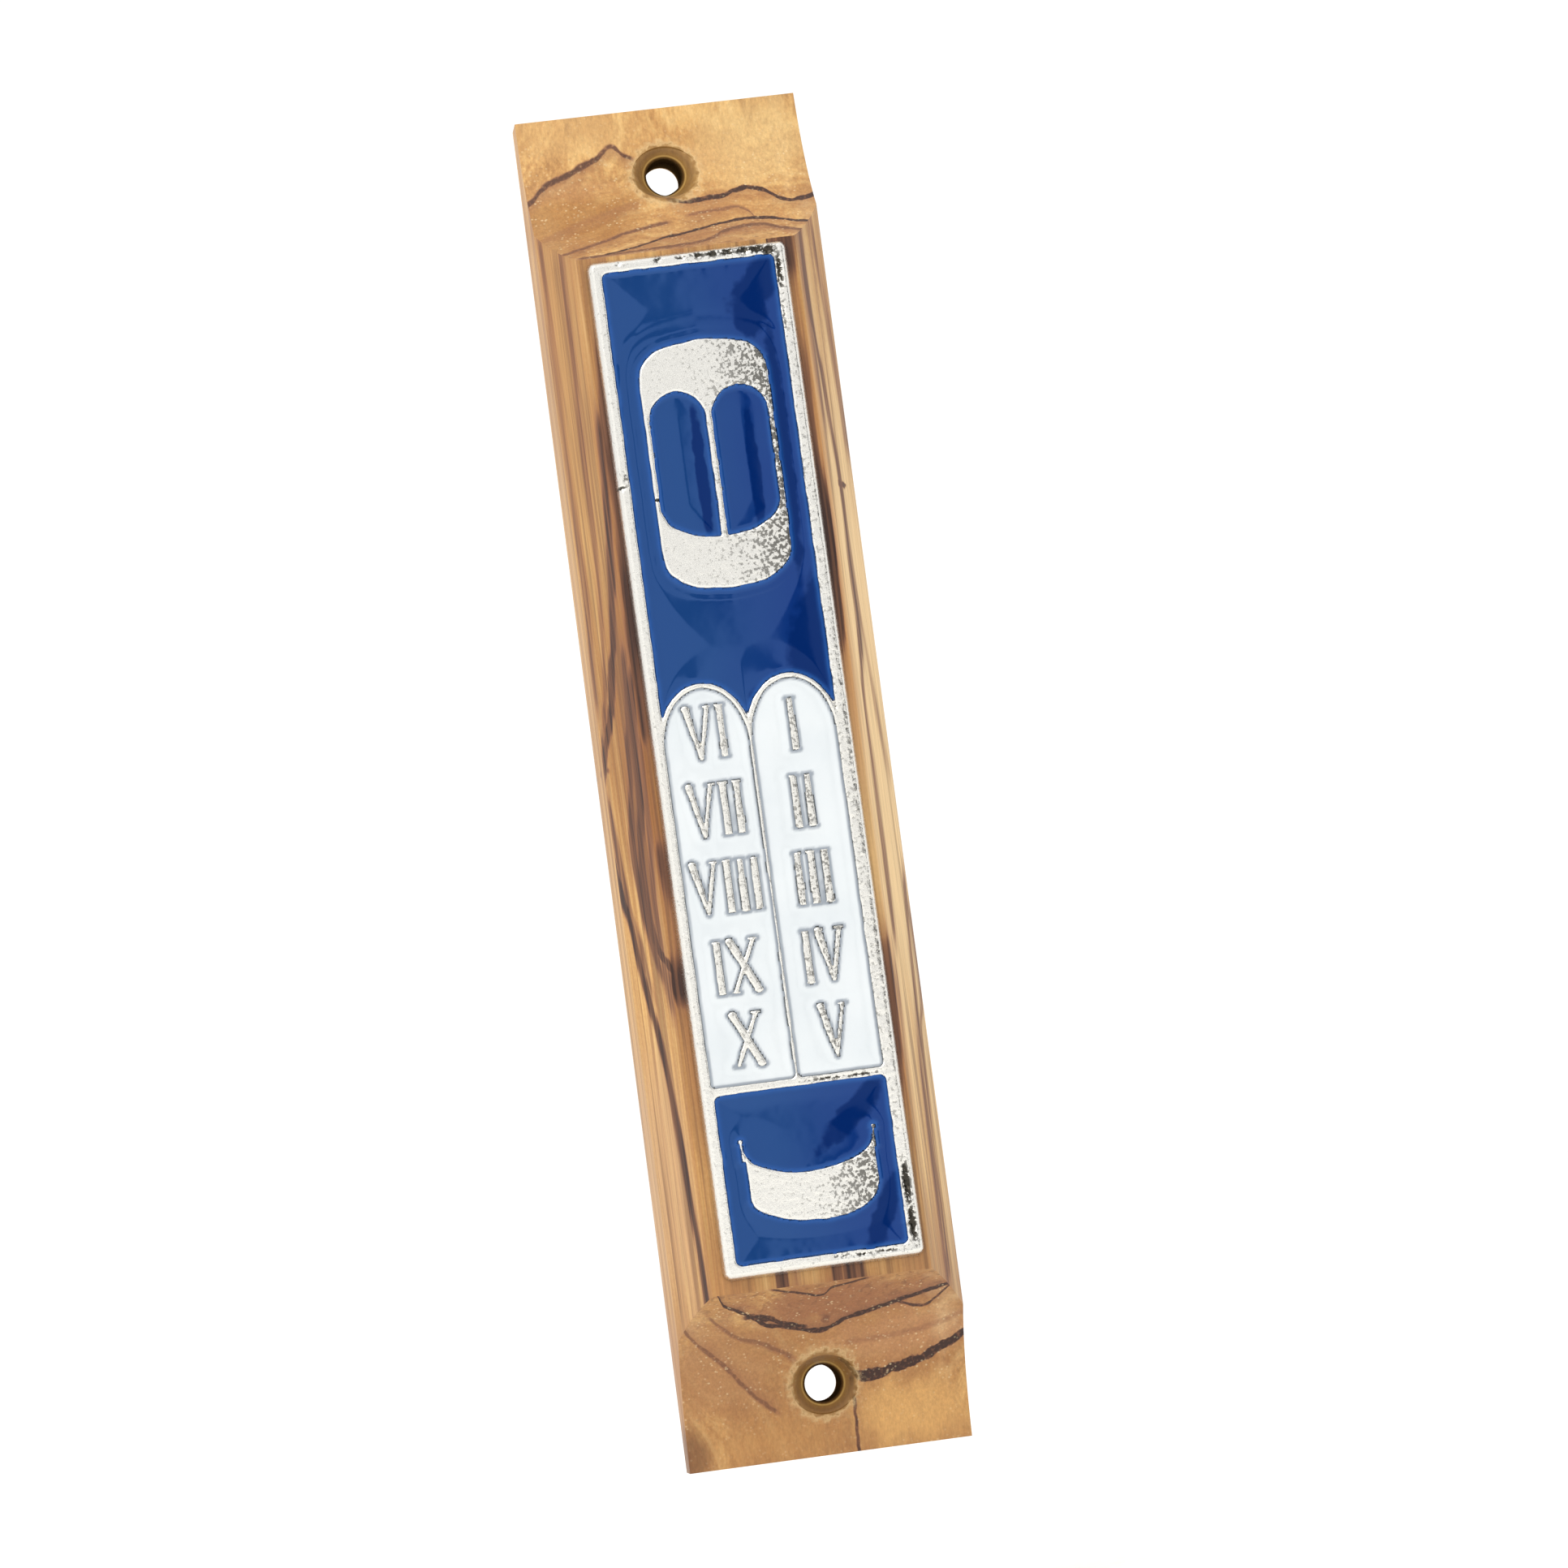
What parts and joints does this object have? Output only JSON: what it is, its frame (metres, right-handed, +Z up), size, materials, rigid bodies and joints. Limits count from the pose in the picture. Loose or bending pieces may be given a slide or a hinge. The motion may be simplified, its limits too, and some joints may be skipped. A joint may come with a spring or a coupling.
{
  "type": "mezuzah case",
  "caption": "Doorpost mezuzah case: olive-wood block with an enamelled metal plaque on the front, and a parchment scroll in a covered pocket at the back.",
  "frame": {"origin": "centre of the flat back face, midway between the two screw holes", "axes": "+Z up along the case as it hangs, +X to the right seen from the front, +Y into the doorpost"},
  "size_m": [0.025, 0.0176, 0.12],
  "materials": {
    "olive_wood": "sanded and lightly oiled",
    "nickel_plated_casting": "bright nickel plate over a grainy casting",
    "adhesive": "cured glue film",
    "blue_enamel": "glossy",
    "white_enamel": "glossy",
    "parchment": "matt",
    "clear_film": "clear and glossy",
    "cover_wood": "sanded"
  },
  "bodies": {
    "case": {"wood_body": "olive_wood", "metal_plaque": "nickel_plated_casting", "plaque_adhesive": "adhesive", "enamel_blue_upper": "blue_enamel", "enamel_blue_emblem_left": "blue_enamel", "enamel_blue_emblem_right": "blue_enamel", "enamel_blue_lower": "blue_enamel", "enamel_white_left": "white_enamel", "enamel_white_right": "white_enamel"},
    "cover": {"back_cover": "cover_wood"},
    "scroll": {"parchment_scroll": "parchment", "scroll_wrap": "clear_film"}
  },
  "joints": [
    {"name": "cover_lift", "type": "slide", "parent": "case", "child": "cover", "axis": [0, 1, 0], "range_m": [0, 0.04]},
    {"name": "scroll_lift", "type": "slide", "parent": "case", "child": "scroll", "axis": [0, 1, 0], "range_m": [0, 0.02]}
  ],
  "couplings": [
    {"joint": "scroll_lift", "follows": "cover_lift", "ratio": 0.5}
  ]
}
